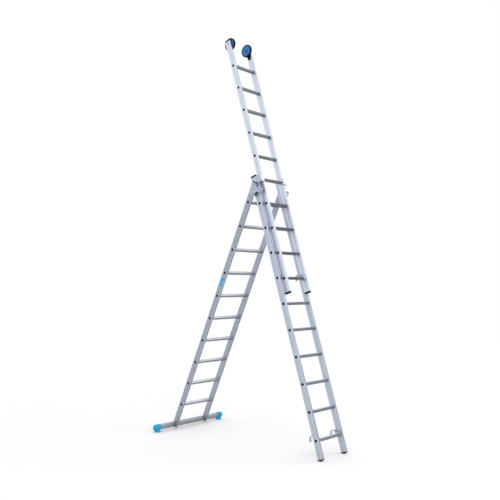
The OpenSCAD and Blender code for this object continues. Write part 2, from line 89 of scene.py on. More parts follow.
ACROSS = np.array([1.0, 0.0, 0.0])
pin = np.array(joints["hinge_fold"]["pos_m"])
fold = math.radians(joints["hinge_fold"]["range_deg"][1])


def section_axes(up, along_up, along_back):
    """Origin and axes of a section: the pin, less its heights along the section's up and back lines."""
    back = np.array([0.0, up[2], -up[1]])
    return pin - along_up * up - along_back * back, np.array([ACROSS, back, up])


def turned_about_x(vector, angle):
    """The vector turned about x: y' = y cos a - z sin a, z' = y sin a + z cos a."""
    x, y, z = vector
    cos, sin = math.cos(angle), math.sin(angle)
    return np.array([x, y * cos - z * sin, y * sin + z * cos])


middle_up = np.array(joints["middle_slide"]["axis"])
middle_up /= np.linalg.norm(middle_up)
lower_up = turned_about_x(middle_up, fold)
MIDDLE = section_axes(middle_up, PIN_UP_MIDDLE, SECTION_GAP - PIN_FORE_LOWER)
LOWER = section_axes(lower_up, PIN_UP_LOWER, -PIN_FORE_LOWER)
TOP_SHIFT = RUNGS_OUT * RUNG_PITCH - HOOK_DROP
TOP = (MIDDLE[0] + TOP_SHIFT * MIDDLE[1][2] - SECTION_GAP * MIDDLE[1][1], MIDDLE[1])
FLOOR = (np.zeros(3), np.eye(3))
lean_middle = math.atan2(middle_up[1], middle_up[2])
lean_lower = math.atan2(-lower_up[1], lower_up[2])
print("leans", round(math.degrees(lean_lower), 1), round(math.degrees(lean_middle), 1), "degrees")

# %% [markdown]
# ## Shapes from numbers
# A shape here is a pair: an array of points and a list of faces. A loop of points carried through
# several stations gives a closed body, and almost everything that follows is such a body. Mesh
# primitives would be quicker to add, but they can't round an edge where the mould rounded it.

# %% Shape helpers


def loft(loops):
    """Closed body: loops (stations x points x 3) joined by quads, with a face across each end loop."""
    stations, count = loops.shape[:2]
    i = np.arange(stations - 1)[:, None] * count
    j = np.arange(count)[None, :]
    k = (j + 1) % count
    quads = np.stack([i + j, i + k, i + count + k, i + count + j], -1).reshape(-1, 4)
    ends = [list(range(count))[::-1], list(range((stations - 1) * count, stations * count))]
    return loops.reshape(-1, 3), quads.tolist() + ends


def ring(rows):
    """Closed ring: rows (profile points x turns x 3), wrapped both along the profile and around."""
    steps, turns = rows.shape[:2]
    i = np.arange(steps)[:, None]
    j = np.arange(turns)[None, :]
    k, m = (i + 1) % steps, (j + 1) % turns
    quads = np.stack([i * turns + j, i * turns + m, k * turns + m, k * turns + j], -1)
    return rows.reshape(-1, 3), quads.reshape(-1, 4).tolist()


def joined(*shapes):
    """One shape from several: the points one after another, and the faces shifted to match."""
    starts = np.cumsum([0] + [len(points) for points, _ in shapes])
    faces = [[v + int(start) for v in face] for (_, some), start in zip(shapes, starts) for face in some]
    return np.concatenate([points for points, _ in shapes]), faces


def mirrored(shape):
    """The shape's twin on the other stile: x turns to -x, and each face is read backwards."""
    points, faces = shape
    return points * [-1, 1, 1], [face[::-1] for face in faces]


def as_drawn(shape):
    """The right-hand piece is the one that is drawn, so it stays as it is."""
    return shape


def both(shape):
    """The shape and its twin, as one."""
    return joined(shape, mirrored(shape))


def moved(shape, x=0.0, y=0.0, z=0.0):
    """Every point p of the shape goes to p + (x, y, z)."""
    points, faces = shape
    return points + [x, y, z], faces


def rounded_loop(width, depth, radius, count=48):
    """Rounded rectangle, counterclockwise: four quarter circles, then points spread evenly along it."""
    turn = np.arange(4)[:, None] * np.pi / 2 + np.linspace(0, np.pi / 2, 9)
    corner_x = np.array([1, -1, -1, 1])[:, None] * (width / 2 - radius)
    corner_y = np.array([1, 1, -1, -1])[:, None] * (depth / 2 - radius)
    outline = np.stack([corner_x + radius * np.cos(turn), corner_y + radius * np.sin(turn)], -1)
    return spread(outline.reshape(-1, 2), count)


def spread(outline, count):
    """Points at even steps along a closed outline, by linear interpolation on its running length."""
    closed = np.vstack([outline, outline[:1]])
    run = np.concatenate([[0], np.cumsum(np.linalg.norm(np.diff(closed, axis=0), axis=1))])
    at = np.arange(count) * run[-1] / count
    return np.stack([np.interp(at, run, closed[:, 0]), np.interp(at, run, closed[:, 1])], -1)


def drawn_in(edge, steps=5):
    """A rounded edge: (distance from the end, inset) along a quarter circle of that radius."""
    turn = np.linspace(0, np.pi / 2, steps)
    return np.stack([edge * (1 - np.sin(turn)), edge * (1 - np.cos(turn))], -1)


def soft_block(width, depth, z0, z1, corner, low_edge, high_edge, count=48):
    """Upright block: rounded rectangles that draw in along a quarter circle at the bottom and the top."""
    low = drawn_in(low_edge)[::-1] + [z0, 0]
    high = drawn_in(high_edge) * [-1, 1] + [z1, 0]
    loops = []
    for z, inset in np.concatenate([low, high]):
        flat = rounded_loop(width - 2 * inset, depth - 2 * inset, max(corner - inset, 0.0004), count)
        loops.append(np.column_stack([flat, np.full(count, z)]))
    return loft(np.array(loops))


def lathe(profile, turns=48):
    """Solid ring about x: each (radius r, x) of a closed profile goes to (x, r cos a, r sin a)."""
    profile = np.asarray(profile, float)
    angle = np.arange(turns) * 2 * np.pi / turns
    radius, x = profile[:, :1], profile[:, 1:] + 0 * angle
    return ring(np.stack([x, radius * np.cos(angle), radius * np.sin(angle)], -1))


def dome(radius, height, turns=24, steps=6):
    """Rivet head on a face at x = 0, pointing along +x: radius cos t, x = height sin t."""
    turn = np.linspace(0, np.pi / 2 * 0.97, steps)
    angle = np.arange(turns) * 2 * np.pi / turns
    r, x = radius * np.cos(turn)[:, None], height * np.sin(turn)[:, None]
    loops = np.stack([x + 0 * angle, r * np.cos(angle), r * np.sin(angle)], -1)
    return loft(loops)


def circle(radius, turns):
    """Points (r cos a, r sin a) at even steps; the radius may differ from point to point."""
    angle = np.arange(turns) * 2 * np.pi / turns
    return np.column_stack([radius * np.cos(angle), radius * np.sin(angle)])


def at_x(x, flat):
    """A loop drawn in y and z, set up at one x."""
    return np.column_stack([np.full(len(flat), x), flat])


def unit_steps(path):
    """Unit vectors along a path."""
    along = np.gradient(path, axis=0)
    return along / np.linalg.norm(along, axis=1, keepdims=True)


def outline_plate(outline, x0, x1, bevel):
    """Flat plate across x: the outline, moved in along its own normals by the bevel at both faces."""
    along = np.roll(outline, -1, 0) - np.roll(outline, 1, 0)
    along /= np.linalg.norm(along, axis=1, keepdims=True)
    outward = np.stack([along[:, 1], -along[:, 0]], -1)
    stations = [(x0, bevel), (x0 + bevel, 0.0), (x1 - bevel, 0.0), (x1, bevel)]
    return loft(np.array([at_x(x, outline - inset * outward) for x, inset in stations]))


def strip(path, z_low, z_high, thick, edge=0.0008, count=32):
    """Bent sheet: a thin rounded rectangle carried along a path in x and y, between two heights."""
    along = unit_steps(path)
    side = np.column_stack([-along[:, 1], along[:, 0]])
    loops = []
    for point, normal, low, high in zip(path, side, z_low, z_high):
        flat = rounded_loop(thick, high - low, edge, count)
        across = point + flat[:, :1] * normal
        loops.append(np.column_stack([across, flat[:, 1] + (low + high) / 2]))
    return loft(np.array(loops))


SIDES = (("left", mirrored), ("right", as_drawn))
print("shape helpers ready")

# %% [markdown]
# A shape becomes a piece when it is put into its section's axes, given to Blender, shaded smooth
# with its hard edges kept and hung on the body that carries it, and the plain solid it stands for is hidden.

# %% Make a piece
made = []
SHARP_ANGLE = math.radians(32)


def piece(name, shape, axes, body, replaces, material):
    """Points p of a section go to origin + p @ axes, and the object itself stays at the origin."""
    points, faces = shape
    origin, directions = axes
    mesh = bpy.data.meshes.new(name)
    mesh.from_pydata((origin + points @ directions).tolist(), [], faces)
    mesh.update()
    mesh.shade_smooth()
    mesh.set_sharp_from_angle(angle=SHARP_ANGLE)
    mesh.materials.append(material)
    thing = bpy.data.objects.new(name, mesh)
    bpy.context.scene.collection.objects.link(thing)
    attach(thing, body)
    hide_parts(*replaces)
    made.append(name)


print("ready to make pieces")

# %% [markdown]
# ## Effects that several finishes share
# Each effect is a node group that gives back a mask between 0 and 1. Extrusion lines are noise
# pulled out long in one direction. Scuffs are small sharp patches of noise. Grime gathers near the
# floor. Painting these by hand would need an unwrapped mesh, and noise in the object's own
# coordinates needs none.

# %% Effect groups


def add_node(tree, kind, inputs, **settings):
    """A node's outputs, once each input is linked to the socket or set to the value given for it."""
    node = tree.nodes.new("ShaderNode" + kind)
    for label, value in settings.items():
        setattr(node, label, value)
    for label, value in inputs.items():
        if isinstance(value, bpy.types.NodeSocket):
            tree.links.new(value, node.inputs[label])
        else:
            node.inputs[label].default_value = value
    return node.outputs


def math_node(tree, operation, a, b=0.5, clamp=False):
    """One Math node; a and b may be sockets or numbers."""
    return add_node(tree, "Math", {0: a, 1: b}, operation=operation, use_clamp=clamp)[0]


def vector_node(tree, operation, vector, constant, output):
    """One Vector Math node on a vector socket and a constant vector."""
    return add_node(tree, "VectorMath", {0: vector, 1: constant}, operation=operation)[output]


def height_node(tree, vector):
    """The z of a vector."""
    return add_node(tree, "SeparateXYZ", {0: vector})["Z"]


def noise_node(tree, vector, scale, detail=2.0, rough=0.5):
    """One Noise node's value; the scale may be a socket or a number."""
    inputs = {"Vector": vector, "Scale": scale, "Detail": detail, "Roughness": rough}
    return add_node(tree, "TexNoise", inputs)["Fac"]


def range_node(tree, value, low, high, to_low=0.0, to_high=1.0):
    """Maps low..high to to_low..to_high, with a smooth start and end."""
    inputs = {"Value": value, "From Min": low, "From Max": high, "To Min": to_low, "To Max": to_high}
    return add_node(tree, "MapRange", inputs, interpolation_type="SMOOTHSTEP")["Result"]


def effect(name, build, **numbers):
    """A shader group that takes a vector and these numbers, and gives what build makes of them."""
    group = bpy.data.node_groups.new(name, "ShaderNodeTree")
    group.interface.new_socket("Vector", in_out="INPUT", socket_type="NodeSocketVector")
    for label, value in numbers.items():
        socket = group.interface.new_socket(label, in_out="INPUT", socket_type="NodeSocketFloat")
        socket.default_value = value
    given = group.nodes.new("NodeGroupInput").outputs
    results = build(group, *[given[label] for label in ("Vector", *numbers)])
    for label in results:
        group.interface.new_socket(label, in_out="OUTPUT", socket_type="NodeSocketFloat")
    out = group.nodes.new("NodeGroupOutput")
    for label, value in results.items():
        group.links.new(value, out.inputs[label])
    return group


def build_lines(group, vector, fineness):
    """Lines along z of the incoming vector: noise squeezed across the lines and stretched along them."""
    stretched = vector_node(group, "MULTIPLY", vector, (1.0, 1.0, 0.012), "Vector")
    fine = noise_node(group, stretched, fineness, 3.0, 0.6)
    broad = noise_node(group, stretched, 38.0)
    return {"Lines": range_node(group, fine, 0.3, 0.7), "Bands": range_node(group, broad, 0.35, 0.65)}


def build_scuffs(group, vector, size, amount):
    """Where two noises of different size both run high, so that marks come in loose clusters."""
    cluster = range_node(group, noise_node(group, vector, 4.0, 3.0, 0.6), 0.45, 0.7)
    sharp = range_node(group, noise_node(group, vector, size, 6.0, 0.72), 0.56, 0.62)
    return {"Mask": math_node(group, "MULTIPLY", math_node(group, "MULTIPLY", cluster, sharp), amount)}


def build_grime(group, vector, reach, amount):
    """One minus height over reach, so that it fades going up, broken up by noise."""
    share = math_node(group, "DIVIDE", height_node(group, vector), reach)
    near = math_node(group, "SUBTRACT", 1.0, share, clamp=True)
    patch = range_node(group, noise_node(group, vector, 22.0, 5.0, 0.65), 0.38, 0.68)
    return {"Mask": math_node(group, "MULTIPLY", math_node(group, "MULTIPLY", near, patch), amount)}


def build_grain(group, vector, scale):
    """Cells and fine noise together, as a spark-eroded mould leaves on plastic."""
    cells = add_node(group, "TexVoronoi", {"Vector": vector, "Scale": scale})["Distance"]
    fine = noise_node(group, vector, scale, 3.0, 0.6)
    mottle = noise_node(group, vector, 26.0, 4.0, 0.6)
    return {"Grain": math_node(group, "ADD", cells, fine), "Mottle": range_node(group, mottle, 0.35, 0.65)}


DRAWN_LINES = effect("drawn_lines", build_lines, Fineness=260.0)
SCUFFS = effect("scuffs", build_scuffs, Size=60.0, Amount=0.5)
GRIME = effect("grime", build_grime, Reach=0.5, Amount=0.5)
MOULD_GRAIN = effect("mould_grain", build_grain, Scale=900.0)
print("effects:", ", ".join(group.name for group in bpy.data.node_groups))

# %% [markdown]
# ## Finishes
# The stiles are extruded aluminium, so their fine lines run up the stile; the rungs' lines run
# along the rung. A Mapping node turns the pattern to the section's own lean. Plastic, rubber and
# plated steel follow, each a Principled BSDF fed by the shared effects.

# %% Finish helpers
# Where the Mix node keeps its two colours and their mixture, among sockets of the same names.
MIX_A, MIX_B, MIX_OUT = 6, 7, 2


def start_material(name, color, metallic, roughness):
    """A material with a Principled BSDF, and its object coordinates ready to feed the effects."""
    material = bpy.data.materials.new(name)
    material.use_nodes = True
    tree = material.node_tree
    shader = tree.nodes["Principled BSDF"]
    shader.inputs["Base Color"].default_value = (*color, 1.0)
    shader.inputs["Metallic"].default_value = metallic
    shader.inputs["Roughness"].default_value = roughness
    return material, tree, shader, add_node(tree, "TexCoord", {})["Object"]


def place_group(tree, group, vector, **values):
    """The group in this material, with its own values for the inputs that are named."""
    return add_node(tree, "Group", {"Vector": vector, **values}, node_tree=group)


def blend_color(tree, factor, first, second):
    """Mix of two colours; each may be a colour or a socket."""
    first, second = ((*c, 1.0) if isinstance(c, tuple) else c for c in (first, second))
    return add_node(tree, "Mix", {"Factor": factor, MIX_A: first, MIX_B: second}, data_type="RGBA")[MIX_OUT]


def feed(tree, shader, color, rough, height, depth, strength):
    """Sends colour and roughness to the shader, and the height by way of a Bump node of that depth."""
    normal = add_node(tree, "Bump", {"Strength": strength, "Distance": depth, "Height": height})["Normal"]
    for label, socket in (("Base Color", color), ("Roughness", rough), ("Normal", normal)):
        tree.links.new(socket, shader.inputs[label])


def scaled(tree, value, low, high):
    """low + value x (high - low)."""
    return math_node(tree, "ADD", math_node(tree, "MULTIPLY", value, high - low), low)


ALONG_BACK, ALONG_UP = 1, 2
ACROSS_TURN = (0.0, math.radians(90), 0.0)


def section_distance(tree, raw, axes, direction):
    """How far a point is from the section's top rung along one axis: (point - origin) . axis."""
    origin, directions = axes
    away = vector_node(tree, "SUBTRACT", raw, tuple(origin), "Vector")
    return vector_node(tree, "DOT_PRODUCT", away, tuple(directions[direction]), "Value")


def drawn_metal(name, color, metallic, roughness, turn):
    """A metal with its drawn lines, which run along z once the coordinates are turned, and its scuffs."""
    material, tree, shader, raw = start_material(name, color, metallic, roughness)
    turned = add_node(tree, "Mapping", {"Vector": raw, "Rotation": turn})["Vector"]
    lines = place_group(tree, DRAWN_LINES, turned, Fineness=300.0)
    marks = place_group(tree, SCUFFS, raw, Size=85.0, Amount=0.55)["Mask"]
    return material, tree, shader, raw, lines, marks


def aluminium(name, turn, axes, tint, shade, flute=0.5, front=1.0, grime=0.25):
    """Mill-finish extrusion, streaked from the tint towards the shade along its lines.

    The flute is the shallow channel down the middle of the face: where the distance y from the
    section's middle plane is under 14 mm the colour leans towards the shade, as painted shade in the
    channel. The front face, where y is below -34 mm, takes painted shade too, as far as `front`
    says.
    """
    material, tree, shader, raw, lines, marks = drawn_metal(name, tint, 0.82, 0.36, turn)
    dirt = place_group(tree, GRIME, raw, Reach=0.55, Amount=grime)["Mask"]
    y = section_distance(tree, raw, axes, ALONG_BACK)
    # Painted shade: the middle channel and the front face are blended towards the shade colour.
    channel = range_node(tree, math_node(tree, "ABSOLUTE", y), 14 * MM, 17 * MM, flute, 0.0)
    flange = range_node(tree, y, -34.6 * MM, -33.6 * MM, front, 0.0)
    color = blend_color(tree, math_node(tree, "MAXIMUM", channel, flange), tint, shade)
    color = blend_color(tree, scaled(tree, lines["Bands"], 0.0, 0.40), color, shade)
    color = blend_color(tree, scaled(tree, lines["Lines"], 0.0, 0.22), color, shade)
    color = blend_color(tree, marks, color, (0.80, 0.81, 0.84))
    color = blend_color(tree, dirt, color, (0.30, 0.28, 0.26))
    rough = scaled(tree, lines["Lines"], 0.30, 0.44)
    rough = math_node(tree, "ADD", rough, math_node(tree, "MULTIPLY", dirt, 0.4), clamp=True)
    feed(tree, shader, color, rough, lines["Lines"], 0.00012, 0.5)
    return material


def rung_aluminium(name, axes, dull_and_shaded=(0.235, 0.245, 0.275), shade=(0.16, 0.168, 0.195)):
    """Grey kept dark as painted shade, a painted highlight on the tread, and a painted shadow over the bore.

    y and z are distances from the rung's own line, with z wrapped to one pitch, so that one formula
    serves every rung. The painted highlight goes on the tread, where z cos a - y sin a is over 14 mm,
    a being the rung's tilt. The painted shadow covers the bore and its swaged lip, where the square
    root of y^2 + z^2 is under 14 mm.
    """
    material, tree, shader, raw, lines, marks = drawn_metal(name, dull_and_shaded, 0.80, 0.40, ACROSS_TURN)
    y = section_distance(tree, raw, axes, ALONG_BACK)
    height = section_distance(tree, raw, axes, ALONG_UP)
    z = add_node(tree, "Math", {0: height, 1: RUNG_PITCH / 2, 2: -RUNG_PITCH / 2}, operation="WRAP")[0]
    raised = math_node(tree, "SUBTRACT", math_node(tree, "MULTIPLY", z, math.cos(RUNG_TILT)),
                       math_node(tree, "MULTIPLY", y, math.sin(RUNG_TILT)))
    # Painted highlight on the tread; painted shadow, near black, over the bore and its lip.
    tread = range_node(tree, raised, 13.2 * MM, 15.0 * MM)
    square = math_node(tree, "ADD", math_node(tree, "MULTIPLY", y, y), math_node(tree, "MULTIPLY", z, z))
    bore = range_node(tree, math_node(tree, "SQRT", square), 14.0 * MM, 14.4 * MM, 1.0, 0.0)
    color = blend_color(tree, scaled(tree, lines["Bands"], 0.0, 0.45), dull_and_shaded, shade)
    color = blend_color(tree, tread, color, (0.76, 0.775, 0.81))
    color = blend_color(tree, scaled(tree, lines["Lines"], 0.0, 0.30), color, shade)
    color = blend_color(tree, marks, color, (0.55, 0.56, 0.59))
    color = blend_color(tree, bore, color, (0.005, 0.005, 0.006))
    rough = scaled(tree, lines["Lines"], 0.34, 0.48)
    rough = math_node(tree, "MAXIMUM", rough, math_node(tree, "MULTIPLY", bore, 0.9))
    feed(tree, shader, color, rough, lines["Lines"], 0.00012, 0.5)
    return material


def plated_steel(name, color, roughness=0.34):
    """Zinc plate: a cool grey with soft crystals, slightly different from patch to patch."""
    material, tree, shader, raw = start_material(name, color, 1.0, roughness)
    grain = place_group(tree, MOULD_GRAIN, raw, Scale=320.0)
    marks = place_group(tree, SCUFFS, raw, Size=220.0, Amount=0.7)["Mask"]
    darker, rubbed = (tuple(share * c for c in color) for share in (0.72, 0.80))
    tint = blend_color(tree, grain["Mottle"], color, darker)
    tint = blend_color(tree, marks, tint, rubbed)
    rough = scaled(tree, grain["Mottle"], roughness - 0.08, roughness + 0.12)
    feed(tree, shader, tint, rough, grain["Grain"], 0.00004, 0.5)
    return material


def moulded(name, color, roughness, grain_scale, worn, grime, gloss):
    """Moulded plastic or rubber: mould grain, slow colour drift, pale rubbed patches and floor grime."""
    material, tree, shader, raw = start_material(name, color, 0.0, roughness)
    shader.inputs["Specular IOR Level"].default_value = gloss
    grain = place_group(tree, MOULD_GRAIN, raw, Scale=grain_scale)
    marks = place_group(tree, SCUFFS, raw, Size=160.0, Amount=0.6)["Mask"]
    dirt = place_group(tree, GRIME, raw, Reach=0.12, Amount=grime)["Mask"]
    drift = tuple(0.80 * c for c in color)
    tint = blend_color(tree, scaled(tree, grain["Mottle"], 0.0, 0.6), color, drift)
    tint = blend_color(tree, marks, tint, worn)
    tint = blend_color(tree, dirt, tint, (0.22, 0.20, 0.18))
    rough = scaled(tree, grain["Mottle"], roughness - 0.06, roughness + 0.1)
    rough = math_node(tree, "ADD", rough, math_node(tree, "MULTIPLY", marks, 0.2))
    feed(tree, shader, tint, rough, grain["Grain"], 0.00007, 0.6)
    return material


# %% [markdown]
# Each finish is named for where it goes. The lower section leans one way and the other two lean the
# other way, so their stiles need two turns of the same aluminium. Each section has a tint of its own,
# darker low and paler high: the one aluminium as painted shade below and painted light above. Moulded
# parts are given colour, roughness, size of grain, colour where rubbed, grime and gloss, in that order.

# %% Finishes
# Painted shade and painted light: one aluminium, given a darker tint for the lower section and a paler one
# for the top.
LOWER_ALUMINIUM = aluminium("aluminium_lower_stiles", (-lean_lower, 0.0, 0.0), LOWER,
                            (0.41, 0.435, 0.495), (0.29, 0.315, 0.375))
MIDDLE_ALUMINIUM = aluminium("aluminium_middle_stiles", (lean_middle, 0.0, 0.0), MIDDLE,
                             (0.56, 0.60, 0.67), (0.37, 0.41, 0.49), front=0.45)
TOP_ALUMINIUM = aluminium("aluminium_top_stiles", (lean_middle, 0.0, 0.0), TOP,
                          (0.72, 0.75, 0.80), (0.52, 0.55, 0.61), grime=0.0)
LOWER_RUNGS = rung_aluminium("aluminium_lower_rungs", LOWER)
MIDDLE_RUNGS = rung_aluminium("aluminium_middle_rungs", MIDDLE)
# Painted shade: the top section's rungs take a darker grey than the others.
TOP_RUNGS = rung_aluminium("aluminium_top_rungs", TOP,
                           (0.155, 0.162, 0.185), (0.10, 0.106, 0.13))
BAR_ALUMINIUM = aluminium("aluminium_bar", ACROSS_TURN, LOWER,
                          (0.37, 0.385, 0.42), (0.27, 0.28, 0.31), flute=0.0, front=0.0)
GREY_STEEL = plated_steel("grey_steel", (0.50, 0.54, 0.61), 0.42)
GREY_PLASTIC = moulded("grey_plastic", (0.36, 0.38, 0.43), 0.50, 1200.0, (0.46, 0.47, 0.50), 0.1, 0.4)
ZINC = plated_steel("zinc", (0.60, 0.61, 0.64))
BLACK_PLASTIC = moulded("black_plastic", (0.006, 0.006, 0.007), 0.50, 1200.0, (0.03, 0.03, 0.033), 0.12, 0.15)
BLACK_RUBBER = moulded("black_rubber", (0.008, 0.008, 0.009), 0.75, 700.0, (0.03, 0.03, 0.03), 0.10, 0.1)
FOOT_BLUE = moulded("foot_blue", (0.0, 0.36, 0.60), 0.42, 1000.0, (0.04, 0.44, 0.66), 0.2, 0.25)
HUB_BLUE = moulded("hub_blue", (0.012, 0.19, 0.49), 0.40, 1000.0, (0.10, 0.33, 0.62), 0.1, 0.4)
# Near-black plate for the axle nuts and bolts, kept dark as painted shade in the hub's middle.
SHADED_DARK_ZINC = plated_steel("dark_zinc_shaded", (0.055, 0.075, 0.11), 0.45)
print("finishes:", len(bpy.data.materials))

# %% [markdown]
# The label's finish comes last. The film is blue with a deeper field and two paler stripes, drawn with
# simple steps along the label, so that it carries no words and no mark.

# %% Label film


def label_film(name, low, high):
    """Bands along the stile: the share (height - low) / (high - low) picks field, stripe or border."""
    material, tree, shader, raw = start_material(name, (0.14, 0.42, 0.68), 0.0, 0.32)
    height = height_node(tree, raw)
    field, wide, narrow = (
        band_node(tree, height, low + start * (high - low), low + stop * (high - low))
        for start, stop in ((0.22, 0.80), (0.40, 0.46), (0.52, 0.56)))
    color = blend_color(tree, field, (0.13, 0.39, 0.62), (0.03, 0.30, 0.60))
    color = blend_color(tree, math_node(tree, "ADD", wide, narrow, clamp=True), color, (0.10, 0.40, 0.66))
    marks = place_group(tree, SCUFFS, raw, Size=240.0, Amount=0.6)["Mask"]
    color = blend_color(tree, marks, color, (0.62, 0.66, 0.70))
    fine = noise_node(tree, raw, 900.0, 2.0)
    feed(tree, shader, color, scaled(tree, fine, 0.26, 0.42), fine, 0.00002, 0.4)
    return material


def band_node(tree, value, low, high):
    """1 between low and high, 0 outside: greater than low, times less than high."""
    above = math_node(tree, "GREATER_THAN", value, low)
    return math_node(tree, "MULTIPLY", above, math_node(tree, "LESS_THAN", value, high))


label_low, label_high = (float(corner[2]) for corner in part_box("label_plate"))
LABEL_FILM = label_film("label_film", label_low, label_high)
print("label from", round(label_low, 3), "to", round(label_high, 3))

# %% [markdown]
# ## Stabiliser feet
# Each end of the bar wears a blue moulded cap: a soft-cornered block with a pocket for the bar and a
# rounded nose, and under it a pad that stands flat on the floor. The cap could be a block with a
# bevel, but a loft lets the nose draw in like a quarter of an ellipse.

# %% Stabiliser feet
BAR_Y = 15 * MM
bar_low, bar_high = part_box("stabiliser_bar")
bar_middle = np.array([0.0, (bar_low[1] + bar_high[1]) / 2, (bar_low[2] + bar_high[2]) / 2])
BAR_Z = float((bar_middle - LOWER[0]) @ LOWER[1][2])


def upright_loop(x, depth, height, radius, count=56):
    """A rounded rectangle in y and z at one x, counterclockwise from +x."""
    return at_x(x, rounded_loop(depth, height, radius, count))


def foot_cap(mouth=471 * MM, nose=555 * MM):
    """Pocket floor, pocket wall, lip, outer wall, then the nose: inset 14 (1 - cos t) over 18 sin t."""
    pocket_d, pocket_h = 40.6 * MM, 56.6 * MM
    loops = [upright_loop(nose - 11.8 * MM, pocket_d, pocket_h, 9 * MM)]
    loops.append(upright_loop(mouth + 2 * MM, pocket_d, pocket_h, 9 * MM))
    loops.append(upright_loop(mouth, pocket_d + 3 * MM, pocket_h + 3 * MM, 10 * MM))
    depth, height = 54 * MM, 66 * MM
    loops.append(upright_loop(mouth, depth - 3 * MM, height - 3 * MM, 15 * MM))
    loops.append(upright_loop(mouth + 2 * MM, depth, height, 17 * MM))
    for turn in np.linspace(0, np.pi / 2 * 0.96, 12):
        inset = 14 * MM * (1 - math.cos(turn))
        at = nose - 18 * MM + 18 * MM * math.sin(turn)
        loops.append(upright_loop(at, depth - 2 * inset, height - 2 * inset, 17 * MM - 0.4 * inset))
    return moved(loft(np.array(loops)), y=BAR_Y, z=BAR_Z)


def foot_pad(x, y, turns=56):
    """Pad under the cap: circles of radius r(z), with a soft rim, a waist and a flare into the cap."""
    levels = np.array([0, 1.2, 3, 8, 10.5, 12, 20, 34, 50]) * MM
    radii = np.array([33, 35, 36, 36, 34.5, 32.2, 29.5, 27, 24]) * MM
    angle = np.arange(turns) * 2 * np.pi / turns
    rib = 1 + 0.030 * np.maximum(0, np.cos(8 * angle)) ** 3
    loops = []
    for z, r in zip(levels, radii):
        grown = r * (rib if 12 * MM <= z < 50 * MM else np.ones(turns))
        loops.append(np.column_stack([[x, y] + circle(grown, turns), np.full(turns, z)]))
    return loft(np.array(loops))


pad_x, pad_y = 501 * MM, float(bar_middle[1])
for side, turn_over in SIDES:
    points, faces = turn_over(foot_cap())
    in_room = (LOWER[0] + points @ LOWER[1], faces)
    foot = joined(in_room, turn_over(foot_pad(pad_x, pad_y)))
    piece("foot_moulded_" + side, foot, FLOOR, "lower_section",
          ["stabiliser_foot_" + side], FOOT_BLUE)
print("feet at x =", pad_x, "y =", round(pad_y, 4))

# %% [markdown]
# ## Rubber feet
# The middle section stands on black rubber shoes. The sole is an arc, so that it meets the floor at
# any lean, and grooves across it grip. A bump texture could fake the grooves, but they show in the
# outline, so they are cut into it.

# %% Rubber feet
FOOT_X = (MIDDLE_WIDTH - STILE_THICK) / 2
SOLE_RADIUS, SOLE_AXIS, SHOE_TOP = 60 * MM, -2657 * MM, -2702 * MM


def rubber_shoe(half_width=12.5 * MM, half_depth=37.5 * MM, groove=2.0 * MM):
    """Outline in y and z: z = axis - sqrt(R^2 - y^2), raised by a groove where cos(2 pi y / 9 mm) > 0.55."""
    y = np.linspace(-half_depth, half_depth, 151)
    cut = np.clip((np.cos(2 * np.pi * y / (9 * MM)) - 0.55) / 0.12, 0, 1)
    cut *= np.abs(y) < 33 * MM
    sole = SOLE_AXIS - np.sqrt(SOLE_RADIUS**2 - y**2) + groove * cut
    rim = np.array([[half_depth, SHOE_TOP - 1 * MM], [half_depth - 1 * MM, SHOE_TOP],
                    [1 * MM - half_depth, SHOE_TOP], [-half_depth, SHOE_TOP - 1 * MM]])
    outline = np.vstack([np.column_stack([y, sole]), rim])
    return outline_plate(outline, -half_width, half_width, 0.5 * MM)


PLUG_LENGTH, PLUG_PLAY, PLATE = 18 * MM, 0.4 * MM, 3 * MM


def stile_plug(z_low, z_high):
    """The tongue inside a stile's hollow, with softened edges."""
    inner = STILE_THICK - 2 * STILE_WALL - PLUG_PLAY
    depth = STILE_DEPTH - 2 * STILE_WALL - PLUG_PLAY
    return soft_block(inner, depth, z_low, z_high, 1.3 * MM, 0.6 * MM, 0.6 * MM)


shoe = moved(joined(rubber_shoe(), stile_plug(SHOE_TOP, SHOE_TOP + PLUG_LENGTH)), x=FOOT_X)
for side, turn_over in SIDES:
    piece("rubber_shoe_" + side, turn_over(shoe), MIDDLE, "middle_section",
          ["middle_foot_" + side], BLACK_RUBBER)
print("rubber shoes made")

# %% [markdown]
# ## Stile caps
# Every open stile end is shut by a black push-in cap. It has a plug inside the stile, a lip a little
# larger than the stile, and a softly domed top.

# %% Stile caps


def stile_cap(section_width, end, height, lip):
    """Rounded block on the stile's end; a negative height makes a cap that points down the stile."""
    width, depth = STILE_THICK + 2 * lip, STILE_DEPTH + 2 * lip
    soft = min(4.0 * MM, abs(height) * 0.55)
    if height > 0:
        head = soft_block(width, depth, end, end + height, 3 * MM, 0.5 * MM, soft)
        plug = stile_plug(end - PLUG_LENGTH, end)
    else:
        head = soft_block(width, depth, end + height, end, 3 * MM, soft, 0.5 * MM)
        plug = stile_plug(end, end + PLUG_LENGTH)
    return both(moved(joined(head, plug), x=(section_width - STILE_THICK) / 2))


LOWER_HEAD, MIDDLE_HEAD, TOP_HEAD, TOP_TAIL = 223 * MM, 304 * MM, 311 * MM, LOWEST_RUNG - 149 * MM
